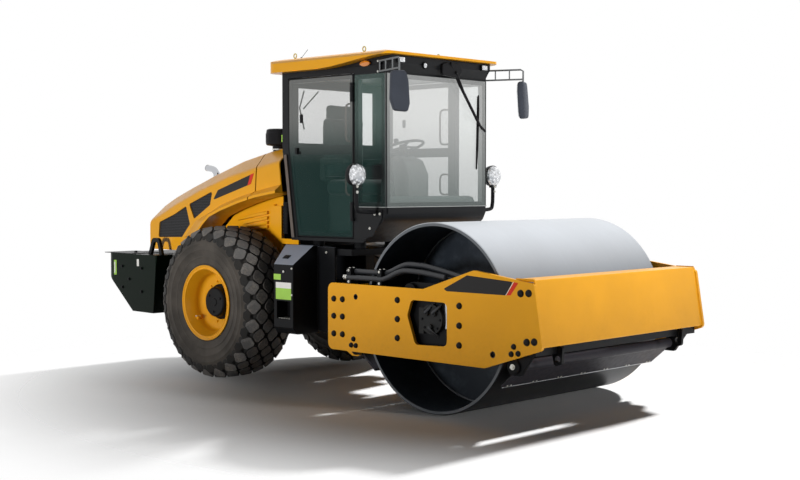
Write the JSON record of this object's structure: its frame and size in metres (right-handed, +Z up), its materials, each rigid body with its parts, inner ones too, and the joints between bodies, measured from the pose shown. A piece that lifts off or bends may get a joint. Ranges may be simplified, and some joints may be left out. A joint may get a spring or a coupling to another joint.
{
  "type": "road roller",
  "caption": "Articulated road roller with a smooth steel drum in a front frame, a rear frame on lugged tyres, a tilting engine hood and a glazed cab.",
  "frame": {"origin": "middle of the length and width on the ground under the machine", "axes": "+X forward to the drum end, +Y to the operator's left, +Z up"},
  "size_m": [5.945, 2.3109, 3.045],
  "materials": {
    "black_paint": "satin",
    "black_plastic": "matte",
    "chrome": "polished",
    "clear_lamp": "polished",
    "dark_steel": "satin",
    "drum_steel": "satin",
    "fabric": "matte",
    "glass": "polished",
    "rubber": "matte",
    "steel": "satin",
    "tyre": "matte",
    "yellow_paint": "satin"
  },
  "bodies": {
    "rear_frame": {"air_precleaner": "black_plastic", "cab_frame": "black_paint", "cab_glass": "glass", "cab_platform": "black_paint", "cab_roof": "yellow_paint", "driver_seat": "fabric", "engine_block": "dark_steel", "engine_firewall": "black_paint", "hood_cowl": "yellow_paint", "mirrors": "black_plastic", "radiator": "black_paint", "rear_axle": "black_paint", "rear_bumper": "black_paint", "rear_chassis": "black_paint", "roof_header": "black_plastic", "roof_lamps": "clear_lamp", "side_panels": "yellow_paint", "steer_pin": "steel", "steering_console": "black_plastic", "steering_wheel": "black_plastic", "step_boxes": "black_paint", "work_lamps": "clear_lamp"},
    "drum": {"drum_shell": "drum_steel"},
    "drum_frame": {"side_plate_right": "yellow_paint", "side_plate_left": "yellow_paint", "front_beam": "yellow_paint", "rear_beam": "yellow_paint", "drum_carriers": "black_paint", "rubber_mounts": "rubber", "drive_motors": "black_paint", "front_scraper": "dark_steel", "rear_scraper": "dark_steel", "cross_member": "black_paint", "hose_clamps": "black_paint", "drum_hoses": "rubber"},
    "hitch": {"hitch_yoke": "black_paint"},
    "barrel_right": {"steer_barrel_right": "black_paint"},
    "barrel_left": {"steer_barrel_left": "black_paint"},
    "rod_right": {"steer_rod_right": "chrome"},
    "rod_left": {"steer_rod_left": "chrome"},
    "wheel_right": {"tyre_right": "tyre", "rim_right": "yellow_paint", "wheel_hub_right": "black_paint"},
    "wheel_left": {"tyre_left": "tyre", "rim_left": "yellow_paint", "wheel_hub_left": "black_paint"},
    "hood": {"hood_shell": "yellow_paint", "hood_grilles": "black_plastic", "exhaust_tip": "chrome"},
    "door_right": {"door_right": "black_paint", "door_glass_right": "glass"},
    "door_left": {"door_left": "black_paint", "door_glass_left": "glass"}
  },
  "joints": [
    {"name": "steer", "type": "hinge", "parent": "rear_frame", "child": "hitch", "pos_m": [0.335, 0, 0.72], "axis": [0, 0, 1], "range_deg": [-33, 33]},
    {"name": "roll", "type": "hinge", "parent": "hitch", "child": "drum_frame", "pos_m": [0.335, 0, 0.72], "axis": [1, 0, 0], "range_deg": [-11, 11]},
    {"name": "drum_spin", "type": "hinge", "parent": "drum_frame", "child": "drum", "pos_m": [1.815, 0, 0.775], "axis": [0, 1, 0], "continuous": true},
    {"name": "wheel_spin_right", "type": "hinge", "parent": "rear_frame", "child": "wheel_right", "pos_m": [-1.095, -0.835, 0.73], "axis": [0, 1, 0], "continuous": true},
    {"name": "wheel_spin_left", "type": "hinge", "parent": "rear_frame", "child": "wheel_left", "pos_m": [-1.095, 0.835, 0.73], "axis": [0, 1, 0], "continuous": true},
    {"name": "hood_lift", "type": "hinge", "parent": "rear_frame", "child": "hood", "pos_m": [-0.895, 0, 2.19], "axis": [0, 1, 0], "range_deg": [0, 50]},
    {"name": "door_swing_right", "type": "hinge", "parent": "rear_frame", "child": "door_right", "pos_m": [0.506, -0.702, 1.56], "axis": [0, 0, 1], "range_deg": [0, 85]},
    {"name": "door_swing_left", "type": "hinge", "parent": "rear_frame", "child": "door_left", "pos_m": [0.506, 0.702, 1.56], "axis": [0, 0, -1], "range_deg": [0, 85]},
    {"name": "barrel_swing_right", "type": "hinge", "parent": "rear_frame", "child": "barrel_right", "pos_m": [-0.365, -0.23, 0.72], "axis": [0, 0, 1], "range_deg": [-2.33, 2.33]},
    {"name": "rod_slide_right", "type": "slide", "parent": "barrel_right", "child": "rod_right", "axis": [0.9997, -0.0263, 0], "range_m": [-0.1383, 0.1383]},
    {"name": "barrel_swing_left", "type": "hinge", "parent": "rear_frame", "child": "barrel_left", "pos_m": [-0.365, 0.23, 0.72], "axis": [0, 0, 1], "range_deg": [-2.33, 2.33]},
    {"name": "rod_slide_left", "type": "slide", "parent": "barrel_left", "child": "rod_left", "axis": [0.9997, 0.0263, 0], "range_m": [-0.1383, 0.1383]}
  ],
  "couplings": [
    {"joint": "barrel_swing_right", "follows": "steer", "ratio": 0.0693},
    {"joint": "rod_slide_right", "follows": "steer", "m_per_rad": 0.2377},
    {"joint": "barrel_swing_left", "follows": "steer", "ratio": 0.0693},
    {"joint": "rod_slide_left", "follows": "steer", "m_per_rad": -0.2377}
  ]
}
